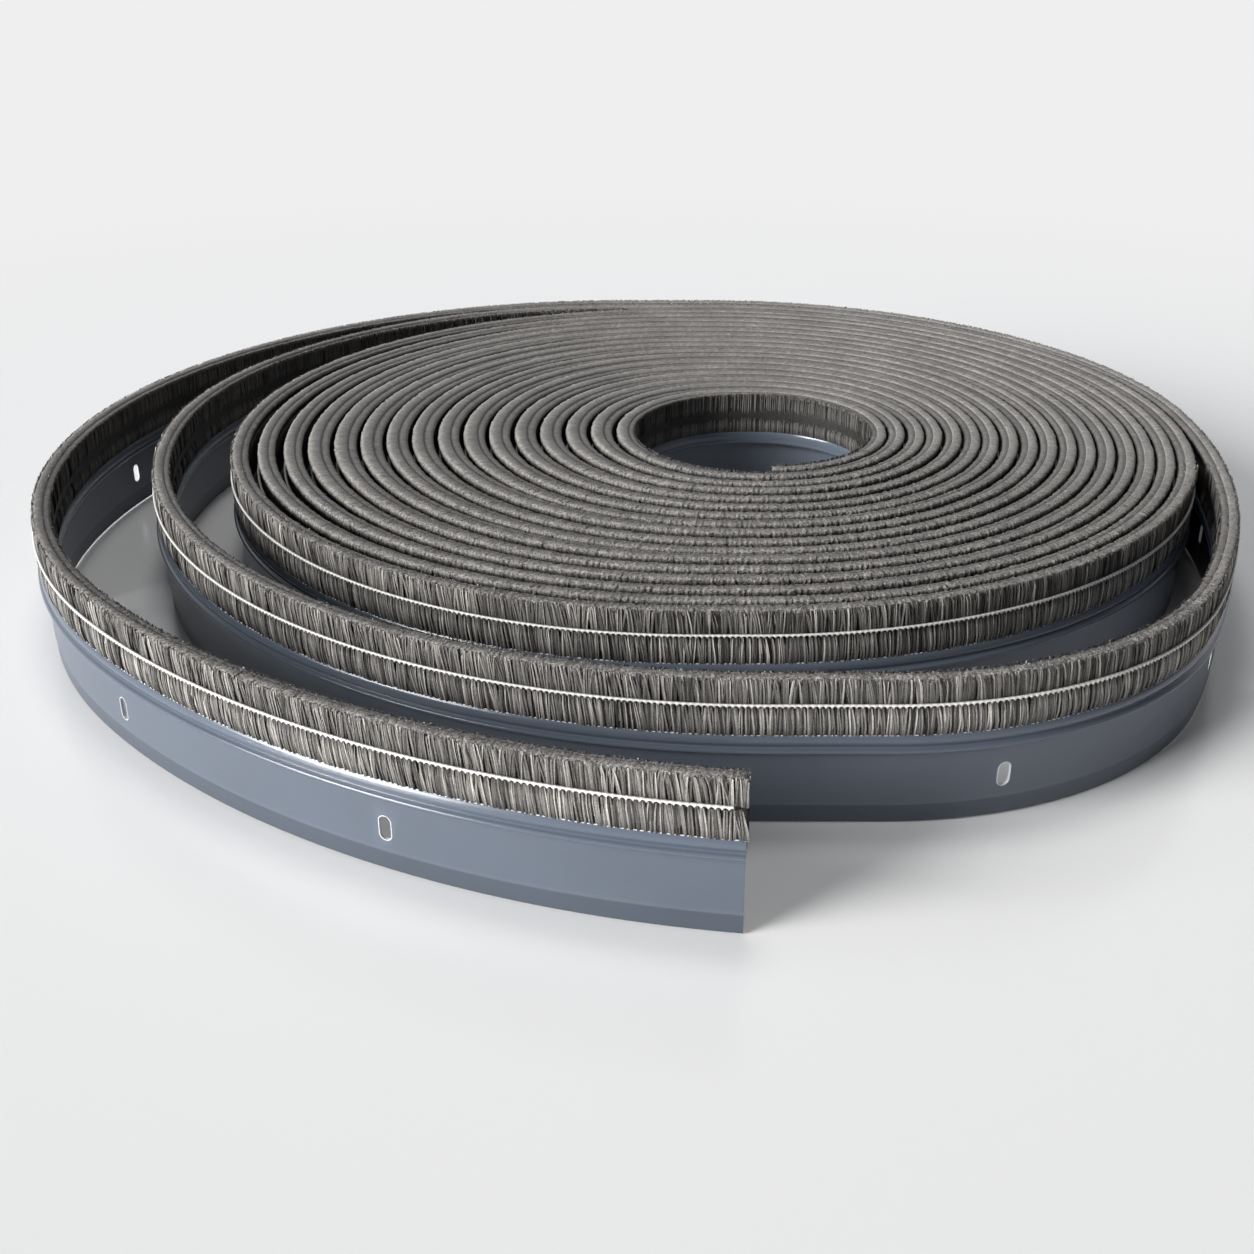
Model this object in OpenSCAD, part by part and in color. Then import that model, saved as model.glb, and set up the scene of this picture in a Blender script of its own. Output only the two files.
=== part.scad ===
// Coil of flexible brush seal strip.
// One extruded carrier with a slotted fixing flange and a jaw, a dense pile of bristles
// gripped in the jaw, and a light binding cord along the outer side of the pile.
// The strip stands on its flange edge, wound in a flat spiral with a loose outer tail.
// Origin: middle of the outer box, on the surface that the coil stands on.
// +X right, +Y back, +Z up, units mm. A turn runs right, back, left, front, from the inside out.

/* [Strip section] */
// Overall height of the strip, flange edge to bristle tips
strip_h = 50; // [44:0.5:60]
// Height of the flat fixing flange, up to the jaw
flange_h = 25; // [22:0.5:32]
// Thickness of the flange
flange_t = 1; // [0.8:0.1:1.4]
// Height of the thinner hem along the lower edge of the flange
hem_h = 6.5; // [3:0.5:9]
// How much thinner the hem is, on the outer face
hem_inset = 0.2; // [0.1:0.05:0.4]
// Height of the jaw that grips the pile
jaw_h = 6; // [5:0.5:9]
// Width of the jaw over its two lips
jaw_w = 7.2; // [6.4:0.1:7.4]
// Wall thickness of the jaw
jaw_t = 0.8; // [0.6:0.1:1]
// How far the outer lip stands out past the flange face
lip_overhang = 1.3; // [1:0.1:2]
// Height of the bead along the foot of the jaw
bead_h = 1.6; // [1:0.1:2]
// How far the bead stands out past the outer lip
bead_overhang = 0.8; // [0.4:0.1:0.9]
// Height of the groove between the bead and the lip
groove_h = 0.8; // [0.6:0.1:1.2]
// Depth of the groove behind the lip
groove_in = 0.5; // [0.3:0.1:0.6]
// Width of the pile above the jaw
pile_w = 7.6; // [7.2:0.1:7.6]
// Clearance between the pile and the walls of the jaw
pile_gap = 0.1; // [0.05:0.05:0.2]
// Height of the binding cord above the flange edge
cord_z = 41; // [38:0.5:43]
// Height of the binding cord
cord_h = 0.7; // [0.5:0.1:1]
// How far the upper rows of bristle stand back behind the cord
upper_setback = 0.9; // [0.6:0.1:1.4]
// Depth of the parting along the top of the pile
parting_d = 1.2; // [0.5:0.1:2]
// Width of the parting along the top of the pile
parting_w = 0.8; // [0.5:0.1:1.4]

/* [Fixing slots] */
// Width of a slot
slot_w = 4; // [3:0.5:6]
// Height of a slot, end to end
slot_h = 8; // [6:0.5:10]
// Height of a slot's centre above the flange edge
slot_z = 14.3; // [11.5:0.1:17]
// Distance between slots along the strip
slot_pitch = 118; // [110:1:140]
// Distance from the free end to the first slot
slot_first = 105; // [30:1:140]
// Number of slots, counted from the free end
slot_count = 12; // [1:1:14]

/* [Coil] */
// Number of turns wound closely
close_turns = 16; // [6:1:16]
// Radius of the open bore in the middle
bore_r = 50; // [40:1:70]
// Turn spacing on the right side
pitch_right = 7.85; // [7.8:0.05:9]
// Turn spacing at the back
pitch_back = 9.55; // [8.6:0.05:11]
// Turn spacing on the left side
pitch_left = 10.8; // [9.6:0.1:13]
// Turn spacing at the front
pitch_front = 8.1; // [8:0.05:9]
// Extra spacing of the loose turn on the left
loose_left = 20; // [10:1:26]
// Extra spacing of the loose turn at the front
loose_front = 37.5; // [30:0.5:40]
// Radius of the loose turn on its left side
loose_side_r = 236; // [232:1:240]
// Radius of the loose turn on its right side, where it closes up again
rejoin_r = 339.16; // [335:0.01:355]
// Extra spacing of the outer tail on the left
tail_left = 26.5; // [24:0.5:40]
// Radius of the tail on the left
tail_side_r = 230; // [226:1:240]
// Radius that the end of the tail relaxes to
tail_end_r = 330; // [300:5:380]
// Direction where the tail starts to relax, counted from the right
tail_from = 221; // [215:1:228]
// Direction of the free end, seen from the middle of its curve
tail_to = 262.5; // [250:0.5:266]

/* [Hidden] */
$fn = 96;

carrier_colour = "slategray";
pile_colour = "dimgray";
cord_colour = "whitesmoke";

// The section lies in a plane with x = 0 on the strip's middle line, +x outwards and y up
half_jaw = jaw_w / 2;
half_pile = pile_w / 2;
flange_out = half_jaw - lip_overhang;
flange_in = flange_out - flange_t;
bead_out = half_jaw + bead_overhang;
foot_in = half_jaw - groove_in;
jaw_z = flange_h;
floor_z = jaw_z + jaw_t;
belly_z = jaw_z + bead_h + groove_h;
lip_z = jaw_z + jaw_h;
groove_out = half_jaw - groove_in;
upper_out = half_pile - upper_setback;
upper_mid = (upper_out - half_pile) / 2;

// Distances from the bore's axis to the middle line of turn i, counted from the inside
start_r = bore_r + half_pile;
loose_turn = close_turns;
tail_turn = close_turns + 1;
function hundredths(x) = round(x * 100) / 100;
function back(i) = hundredths(start_r + i * pitch_back);
function right(i) = hundredths(start_r + i * pitch_right);
function wound_front(i) = hundredths(start_r + i * pitch_front);
function wound_left(i) = hundredths(start_r + i * pitch_left);
loose_front_y = wound_front(loose_turn) + loose_front;
loose_left_x = wound_left(loose_turn) + loose_left;
tail_left_x = wound_left(tail_turn) + loose_left + tail_left;

// A piece of the path is an arc, [centre, radius, from, to], or a run, [from point, to point]
function arc(centre, r, from, to) = [centre, r, from, to];
function is_arc(piece) = len(piece) == 4;

// Right half of turn i, from the front of the turn inside it to its own back
function right_r(i) = (back(i) + wound_front(i - 1)) / 2;
function right_c(i) = [right(i) - right_r(i), (back(i) - wound_front(i - 1)) / 2];
function right_half(i) = arc(right_c(i), right_r(i), -90, 90);

// Left half of turn i, from its back to its front
function left_r(i) = (back(i) + wound_front(i)) / 2;
function left_c(i) = [left_r(i) - wound_left(i), (back(i) - wound_front(i)) / 2];
function left_half(i) = arc(left_c(i), left_r(i), 90, 270);

function back_run(i, from_x, to_x) = [[from_x, back(i)], [to_x, back(i)]];
function front_run(y, from_x, to_x) = [[from_x, -y], [to_x, -y]];

function close_turn(i) = [
    right_half(i),
    back_run(i, left_c(i).x, right_c(i).x),
    left_half(i),
    front_run(wound_front(i), left_c(i).x, right_c(i + 1).x),
];

// The loose turn leaves the close winding on the left and meets the tail turn on the right
rejoin_from = 330;
rejoin_c = [right(tail_turn) - rejoin_r, right_c(tail_turn).y];
corner_r = (loose_front_y + rejoin_c.y + rejoin_r * sin(rejoin_from)) / (1 + sin(rejoin_from));
corner_c = rejoin_c + (rejoin_r - corner_r) * [cos(rejoin_from), sin(rejoin_from)];
swell_c = [loose_side_r - loose_left_x, loose_side_r - loose_front_y];
leave_r = back(loose_turn) - swell_c.y;
leave_c = [leave_r - loose_left_x, swell_c.y];
loose_turn_path = [
    right_half(loose_turn),
    back_run(loose_turn, leave_c.x, right_c(loose_turn).x),
    arc(leave_c, leave_r, 90, 180),
    arc(swell_c, loose_side_r, 180, 270),
    front_run(loose_front_y, swell_c.x, corner_c.x),
    arc(corner_c, corner_r, 270, rejoin_from),
    arc(rejoin_c, rejoin_r, rejoin_from, 360),
];

// The tail turn ends in a relaxed curve of larger radius
side_c = [tail_side_r - tail_left_x, back(tail_turn) - tail_side_r];
end_c = side_c - (tail_end_r - tail_side_r) * [cos(tail_from), sin(tail_from)];
tail_path = [
    arc(right_c(tail_turn), right_r(tail_turn), 0, 90),
    back_run(tail_turn, side_c.x, right_c(tail_turn).x),
    arc(side_c, tail_side_r, 90, tail_from),
    arc(end_c, tail_end_r, tail_from, tail_to),
];

path = concat(
    [for (i = [0 : close_turns - 1]) each close_turn(i)],
    loose_turn_path,
    tail_path
);

// Middle of the outer box
front_y = end_c.y + (tail_end_r + bead_out) * sin(tail_to);
box_mid = [(right(tail_turn) - tail_left_x) / 2, (back(tail_turn) + bead_out + front_y) / 2];

// Places along the path, counted back from the free end: [point, direction of the outer side]
function span(piece) = is_arc(piece) ? piece[1] * (piece[3] - piece[2]) * PI / 180
    : norm(piece[1] - piece[0]);
function arc_place(piece, direction) =
    [piece[0] + piece[1] * [cos(direction), sin(direction)], direction];
function run_place(piece, s) = piece[0].y > 0
    ? [[piece[0].x + s, piece[0].y], 90]
    : [[piece[1].x - s, piece[0].y], 270];
function place_on(piece, s) = is_arc(piece)
    ? arc_place(piece, piece[3] - s / piece[1] * 180 / PI)
    : run_place(piece, s);
function place(s, k = len(path) - 1) = s <= span(path[k])
    ? place_on(path[k], s)
    : place(s - span(path[k]), k - 1);

module carrier_section() {
    polygon([
        [flange_in, 0],
        [flange_out - hem_inset, 0],
        [flange_out - hem_inset, hem_h],
        [flange_out, hem_h],
        [flange_out, jaw_z],
        [bead_out, jaw_z],
        [bead_out, jaw_z + bead_h],
        [groove_out, jaw_z + bead_h],
        [groove_out, belly_z],
        [half_jaw, belly_z],
        [half_jaw, lip_z],
        [half_jaw - jaw_t, lip_z],
        [half_jaw - jaw_t, belly_z + jaw_t],
        [groove_out - jaw_t, belly_z + jaw_t],
        [groove_out - jaw_t, floor_z],
        [-half_jaw + jaw_t, floor_z],
        [-half_jaw + jaw_t, lip_z],
        [-half_jaw, lip_z],
        [-half_jaw, floor_z],
        [-foot_in, floor_z],
        [-foot_in, jaw_z],
        [flange_in, jaw_z],
    ]);
}

module pile_section() {
    root_out = groove_out - jaw_t - pile_gap;
    root_in = -half_jaw + jaw_t + pile_gap;
    polygon([
        [root_in, floor_z],
        [root_out, floor_z],
        [root_out, lip_z],
        [half_pile, lip_z],
        [half_pile, cord_z],
        [upper_out, cord_z],
        [upper_out, strip_h],
        [upper_mid + parting_w / 2, strip_h],
        [upper_mid + parting_w / 2, strip_h - parting_d],
        [upper_mid - parting_w / 2, strip_h - parting_d],
        [upper_mid - parting_w / 2, strip_h],
        [-half_pile, strip_h],
        [-half_pile, lip_z],
        [root_in, lip_z],
    ]);
}

module cord_section() {
    translate([upper_out + pile_gap, cord_z])
        square([upper_setback - pile_gap, cord_h]);
}

// Sweeps a section along one arc of the path. Its centre is set in hundredths and then by what
// is left, which keeps every digit, so that neighbouring arcs meet face to face
module arc_sweep(centre, r, from, to) {
    near = [hundredths(centre.x), hundredths(centre.y)];
    translate(near)
        translate(centre - near)
            rotate_extrude(angle = to - from, start = from)
                translate([r, 0])
                    children();
}

// Sweeps a section along one straight run, with its outer side away from the bore
module run_sweep(start, finish) {
    side = sign(start.y);
    translate([side > 0 ? start.x : finish.x, start.y, 0])
        rotate([90, 0, side * 90])
            linear_extrude(finish.x - start.x)
                children();
}

module along_path() {
    translate([-box_mid.x, -box_mid.y, 0])
        for (piece = path)
            if (is_arc(piece))
                arc_sweep(piece[0], piece[1], piece[2], piece[3]) children();
            else
                run_sweep(piece[0], piece[1]) children();
}

// One slot's cutter, upright, through the flange at distance s from the free end
module slot_cutter(s) {
    spot = place(s);
    reach = flange_t * 2;
    translate([spot[0].x - box_mid.x, spot[0].y - box_mid.y, slot_z])
        rotate([0, 0, spot[1]])
            translate([flange_in - flange_t / 2, 0, 0])
                rotate([90, 0, 90])
                    linear_extrude(reach) {
                        for (side = [-1, 1])
                            translate([0, side * (slot_h - slot_w) / 2])
                                circle(d = slot_w);
                        square([slot_w, slot_h - slot_w], center = true);
                    }
}

module carrier() {
    color(carrier_colour)
        difference() {
            along_path() carrier_section();
            for (k = [0 : slot_count - 1])
                slot_cutter(slot_first + k * slot_pitch);
        }
}

module bristle_pile() {
    color(pile_colour)
        along_path() pile_section();
}

module binding_cord() {
    color(cord_colour)
        along_path() cord_section();
}

carrier();
bristle_pile();
binding_cord();
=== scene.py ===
import logging
import math
from dataclasses import dataclass, field
from enum import Enum

import bmesh
import bpy
import numpy as np
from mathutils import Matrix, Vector


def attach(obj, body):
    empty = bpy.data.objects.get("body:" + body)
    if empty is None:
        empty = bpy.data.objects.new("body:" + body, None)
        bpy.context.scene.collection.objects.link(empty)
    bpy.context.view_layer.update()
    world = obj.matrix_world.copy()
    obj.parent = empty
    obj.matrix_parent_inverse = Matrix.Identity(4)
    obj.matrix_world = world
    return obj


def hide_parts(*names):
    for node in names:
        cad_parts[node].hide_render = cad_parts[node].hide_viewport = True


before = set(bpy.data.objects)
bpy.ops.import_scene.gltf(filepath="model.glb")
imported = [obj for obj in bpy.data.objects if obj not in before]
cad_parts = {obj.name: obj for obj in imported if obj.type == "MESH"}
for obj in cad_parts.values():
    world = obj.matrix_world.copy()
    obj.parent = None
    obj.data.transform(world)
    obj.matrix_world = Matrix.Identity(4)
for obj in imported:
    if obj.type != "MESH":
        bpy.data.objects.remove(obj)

LOG = logging.getLogger("brush_seal_coil")
MM = 0.001
SEED = 3021
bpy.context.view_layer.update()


def hex_to_linear(code: str) -> tuple[float, float, float, float]:
    """Turns an sRGB hex colour into Blender's linear colour.

    Args:
        code: Six hex digits, such as "6a6f78".

    Returns:
        Red, green, blue and an alpha of 1, linear.
    """
    channels = [int(code[i:i + 2], 16) / 255 for i in (0, 2, 4)]
    linear = [c / 12.92 if c <= 0.04045 else ((c + 0.055) / 1.055) ** 2.4 for c in channels]
    return (*linear, 1.0)


def add_node(tree: bpy.types.NodeTree, kind: str, settings: dict | None = None,
             links: dict | None = None) -> bpy.types.Node:
    """Adds one shader node, sets it and links its inputs.

    Args:
        tree: The material's or world's node tree.
        kind: The node's type name, such as "ShaderNodeMix".
        settings: Values by property name, or by input name or number.
        links: Output sockets by input name or number.

    Returns:
        The new node.
    """
    node = tree.nodes.new(kind)
    for key, value in (settings or {}).items():
        if isinstance(key, str) and hasattr(node, key):
            setattr(node, key, value)
        else:
            node.inputs[key].default_value = value
    for key, socket in (links or {}).items():
        tree.links.new(socket, node.inputs[key])
    return node


def new_material(name: str) -> tuple[bpy.types.Material, bpy.types.NodeTree, bpy.types.Node]:
    """Makes an empty node material.

    Args:
        name: The material's name.

    Returns:
        The material, its node tree and its Principled shader, linked to the output.
    """
    material = bpy.data.materials.new(name)
    material.use_nodes = True
    tree = material.node_tree
    tree.nodes.clear()
    shader = add_node(tree, "ShaderNodeBsdfPrincipled")
    add_node(tree, "ShaderNodeOutputMaterial", links={"Surface": shader.outputs["BSDF"]})
    return material, tree, shader


class Side(Enum):
    """The two faces of the pile: away from the bore, or towards it."""

    OUTER = 1
    INNER = -1


@dataclass(frozen=True)
class Arc:
    """One arc of the strip's middle line, in millimetres about the bore's axis."""

    centre: tuple[float, float]
    radius: float
    start: float
    stop: float

    def length(self) -> float:
        """Length along the arc."""
        return self.radius * math.radians(self.stop - self.start)

    def at(self, s: np.ndarray) -> tuple[np.ndarray, np.ndarray, np.ndarray]:
        """Points and outward directions at distances s from the arc's start."""
        turned = np.radians(self.start) + s / self.radius
        return (self.centre[0] + self.radius * np.cos(turned),
                self.centre[1] + self.radius * np.sin(turned), turned)


@dataclass(frozen=True)
class Run:
    """One straight stretch of the middle line, along X, at the back or at the front."""

    start_x: float
    stop_x: float
    y: float

    def length(self) -> float:
        """Length of the run."""
        return self.stop_x - self.start_x

    def at(self, s: np.ndarray) -> tuple[np.ndarray, np.ndarray, np.ndarray]:
        """Points and outward directions at distances s from the run's inner end."""
        if self.y > 0:
            return self.stop_x - s, np.full_like(s, self.y), np.full_like(s, math.pi / 2)
        return self.start_x + s, np.full_like(s, self.y), np.full_like(s, math.pi * 3 / 2)


@dataclass
class CoilPath:
    """The strip's middle line from its inner end to its free end, as the frame has it."""

    close_turns: int = 16
    bore_r: float = 50.0
    pile_w: float = 7.6
    pitch_right: float = 7.85
    pitch_back: float = 9.55
    pitch_left: float = 10.8
    pitch_front: float = 8.1
    loose_left: float = 20.0
    loose_front: float = 37.5
    loose_side_r: float = 236.0
    rejoin_r: float = 339.16
    rejoin_from: float = 330.0
    tail_left: float = 26.5
    tail_side_r: float = 230.0
    tail_end_r: float = 330.0
    tail_from: float = 221.0
    tail_to: float = 262.5
    bead_out: float = 4.4
    table_step: float = 0.25
    box_mid: tuple[float, float] = field(init=False)
    length: float = field(init=False)

    def __post_init__(self) -> None:
        """Lays the pieces end to end and tabulates them."""
        pieces = self._pieces()
        self.length = sum(p.length() for p in pieces)
        self.s = np.arange(0.0, self.length, self.table_step)
        self.s = np.append(self.s, self.length)
        x, y, out = (np.empty_like(self.s) for _ in range(3))
        begin = 0.0
        for piece in pieces:
            here = (self.s >= begin - 1e-9) & (self.s <= begin + piece.length() + 1e-9)
            x[here], y[here], out[here] = piece.at(self.s[here] - begin)
            begin += piece.length()
        self.theta = np.unwrap(np.arctan2(y, x))
        self.theta -= self.theta[0]
        self.rho = np.hypot(x, y)
        self.x, self.y = x - self.box_mid[0], y - self.box_mid[1]
        self.nx, self.ny = np.cos(out), np.sin(out)
        turn = 2 * math.pi
        ahead = np.interp(self.theta + turn, self.theta, self.rho, right=1e3)
        behind = np.interp(self.theta - turn, self.theta, self.rho, left=-1e3)
        self.gap_out = ahead - self.rho - self.pile_w
        self.gap_in = self.rho - behind - self.pile_w

    def _pieces(self) -> list[Arc | Run]:
        """The arcs and runs in order.

        Returns:
            The pieces from the inner end to the free end.
        """
        start_r = self.bore_r + self.pile_w / 2
        back = [start_r + i * self.pitch_back for i in range(self.close_turns + 2)]
        right = [start_r + i * self.pitch_right for i in range(self.close_turns + 2)]
        front = [start_r + i * self.pitch_front for i in range(-1, self.close_turns + 2)][1:]
        left = [start_r + i * self.pitch_left for i in range(self.close_turns + 2)]
        inner_front = [start_r - self.pitch_front] + front[:-1]
        loose, tail = self.close_turns, self.close_turns + 1

        right_r = [(b + f) / 2 for b, f in zip(back, inner_front)]
        right_c = [(r - rr, (b - f) / 2)
                   for r, rr, b, f in zip(right, right_r, back, inner_front)]
        left_r = [(b + f) / 2 for b, f in zip(back, front)]
        left_c = [(rr - x, (b - f) / 2) for rr, x, b, f in zip(left_r, left, back, front)]

        pieces: list[Arc | Run] = []
        for i in range(self.close_turns):
            pieces += [
                Arc(right_c[i], right_r[i], -90, 90),
                Run(left_c[i][0], right_c[i][0], back[i]),
                Arc(left_c[i], left_r[i], 90, 270),
                Run(left_c[i][0], right_c[i + 1][0], -front[i]),
            ]

        loose_front_y = front[loose] + self.loose_front
        loose_left_x = left[loose] + self.loose_left
        tail_left_x = left[tail] + self.loose_left + self.tail_left
        rejoin_c = (right[tail] - self.rejoin_r, right_c[tail][1])
        slope, fall = (f(math.radians(self.rejoin_from)) for f in (math.cos, math.sin))
        corner_r = (loose_front_y + rejoin_c[1] + self.rejoin_r * fall) / (1 + fall)
        corner_c = (rejoin_c[0] + (self.rejoin_r - corner_r) * slope,
                    rejoin_c[1] + (self.rejoin_r - corner_r) * fall)
        swell_c = (self.loose_side_r - loose_left_x, self.loose_side_r - loose_front_y)
        leave_r = back[loose] - swell_c[1]
        leave_c = (leave_r - loose_left_x, swell_c[1])
        side_c = (self.tail_side_r - tail_left_x, back[tail] - self.tail_side_r)
        grow = self.tail_end_r - self.tail_side_r
        bend = math.radians(self.tail_from)
        end_c = (side_c[0] - grow * math.cos(bend), side_c[1] - grow * math.sin(bend))
        pieces += [
            Arc(right_c[loose], right_r[loose], -90, 90),
            Run(leave_c[0], right_c[loose][0], back[loose]),
            Arc(leave_c, leave_r, 90, 180),
            Arc(swell_c, self.loose_side_r, 180, 270),
            Run(swell_c[0], corner_c[0], -loose_front_y),
            Arc(corner_c, corner_r, 270, self.rejoin_from),
            Arc(rejoin_c, self.rejoin_r, self.rejoin_from, 360),
            Arc(right_c[tail], right_r[tail], 0, 90),
            Run(side_c[0], right_c[tail][0], back[tail]),
            Arc(side_c, self.tail_side_r, 90, self.tail_from),
            Arc(end_c, self.tail_end_r, self.tail_from, self.tail_to),
        ]
        front_y = end_c[1] + (self.tail_end_r + self.bead_out) * math.sin(math.radians(self.tail_to))
        self.box_mid = ((right[tail] - tail_left_x) / 2, (back[tail] + self.bead_out + front_y) / 2)
        return pieces

    def value(self, column: np.ndarray, s: np.ndarray) -> np.ndarray:
        """Reads one of the table's columns at distances s from the inner end."""
        return np.interp(s, self.s, column)

    def stations(self, fine: float, coarse: float, shown_gap: float) -> np.ndarray:
        """Places for a sweep's rings, close together where the strip stands clear.

        Args:
            fine: Spacing where either side of the strip shows, in mm.
            coarse: Spacing elsewhere.
            shown_gap: The gap to the next turn from which a side shows.

        Returns:
            Distances from the inner end, both ends among them.
        """
        even = np.linspace(0, self.length, int(self.length / fine) + 1)
        clear = np.maximum(self.value(self.gap_out, even), self.value(self.gap_in, even))
        every = max(1, round(coarse / fine))
        keep = (clear > shown_gap) | (np.arange(len(even)) % every == 0)
        keep[-1] = True
        return even[keep]

    def points(self, s: np.ndarray, out: np.ndarray, z: np.ndarray) -> np.ndarray:
        """Places on or beside the strip.

        Args:
            s: Distances along the middle line from the inner end, in mm.
            out: Distances outwards from the middle line, in mm.
            z: Heights, in mm.

        Returns:
            Points in metres, in the frame, in an array whose last side is 3.
        """
        s, out, z = np.broadcast_arrays(s, out, z)
        past = s - np.clip(s, 0, self.length)
        nx, ny = self.value(self.nx, s), self.value(self.ny, s)
        x = self.value(self.x, s) + out * nx - past * ny
        y = self.value(self.y, s) + out * ny + past * nx
        return np.stack([x, y, z], axis=-1) * MM

    def from_free_end(self, s: float) -> tuple[Vector, float]:
        """The middle line's point, in metres, and outward direction, s mm from the free end."""
        at = np.array([self.length - s])
        x, y, _ = self.points(at, np.zeros(1), np.zeros(1))[0]
        turned = math.atan2(self.value(self.ny, at)[0], self.value(self.nx, at)[0])
        return Vector((x, y, 0.0)), turned


def mesh_object(name: str, verts: np.ndarray, quads: np.ndarray,
                uv: np.ndarray | None = None, tone_and_shading: np.ndarray | None = None,
                caps: list[list[int]] | None = None) -> bpy.types.Object:
    """Makes an object at the origin from arrays.

    Args:
        name: The object's name.
        verts: Points in metres, n by 3.
        quads: Corner numbers, m by 4.
        uv: A map position for each point, n by 2.
        tone_and_shading: A colour attribute for each point, n by 4: red picks the bristle tone,
            green is painted light and shade, blue weights the painted shade in pits.
        caps: More faces, each a list of corner numbers.

    Returns:
        The new object, linked to the scene.
    """
    mesh = bpy.data.meshes.new(name)
    caps = caps or []
    corners = np.concatenate([quads.ravel(), *[np.array(c) for c in caps]]).astype(np.int32)
    sizes = np.concatenate([np.full(len(quads), 4), [len(c) for c in caps]]).astype(np.int32)
    starts = np.concatenate([[0], np.cumsum(sizes)[:-1]]).astype(np.int32)
    mesh.vertices.add(len(verts))
    mesh.vertices.foreach_set("co", verts.astype(np.float32).ravel())
    mesh.loops.add(len(corners))
    mesh.loops.foreach_set("vertex_index", corners)
    mesh.polygons.add(len(sizes))
    mesh.polygons.foreach_set("loop_start", starts)
    mesh.update(calc_edges=True)
    if uv is not None:
        layer = mesh.uv_layers.new(name="along_strip")
        layer.data.foreach_set("uv", uv[corners].astype(np.float32).ravel())
    if tone_and_shading is not None:
        colours = mesh.color_attributes.new(name="tone_and_shading", type="FLOAT_COLOR", domain="POINT")
        colours.data.foreach_set("color", tone_and_shading.astype(np.float32).ravel())
    mesh.validate()
    made = bpy.data.objects.new(name, mesh)
    bpy.context.scene.collection.objects.link(made)
    return made


def only(made: bpy.types.Object) -> None:
    """Selects one object and makes it the active one."""
    bpy.ops.object.select_all(action="DESELECT")
    made.select_set(True)
    bpy.context.view_layer.objects.active = made


def face_outwards(made: bpy.types.Object) -> None:
    """Turns every face of a closed sweep outwards."""
    shape = bmesh.new()
    shape.from_mesh(made.data)
    bmesh.ops.recalc_face_normals(shape, faces=shape.faces)
    shape.to_mesh(made.data)
    shape.free()


def settle(made: bpy.types.Object, slot: str, *nodes: str) -> None:
    """Seats a finished piece: it rides on the strip and stands for nodes.

    Args:
        made: The piece.
        slot: Not used.
        nodes: The frame's nodes that it replaces.
    """
    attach(made, "root")
    if nodes:
        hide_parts(*nodes)
    LOG.info("%s: %d faces", made.name, len(made.data.polygons))


def loop_quads(rings: int, around: int, closed: bool) -> np.ndarray:
    """Corner numbers of the faces between rings of points.

    Args:
        rings: Number of rings.
        around: Points in each ring.
        closed: Whether the last point of a ring joins the first.

    Returns:
        Faces, m by 4, that point to the left of the way the profile runs.
    """
    columns = around if closed else around - 1
    ring = np.arange(rings - 1)[:, None] * around
    here = np.arange(columns)[None, :]
    after = (here + 1) % around
    return np.stack([ring + here, ring + after, ring + around + after, ring + around + here],
                    axis=-1).reshape(-1, 4)


def bend(centre: tuple[float, float], radius: float, start: float, stop: float,
         points: int) -> list[tuple[float, float]]:
    """Points along an arc of a section, from start to stop in degrees, both ends kept."""
    turned = np.radians(np.linspace(start, stop, points))
    return [(centre[0] + radius * math.cos(a), centre[1] + radius * math.sin(a)) for a in turned]


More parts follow.
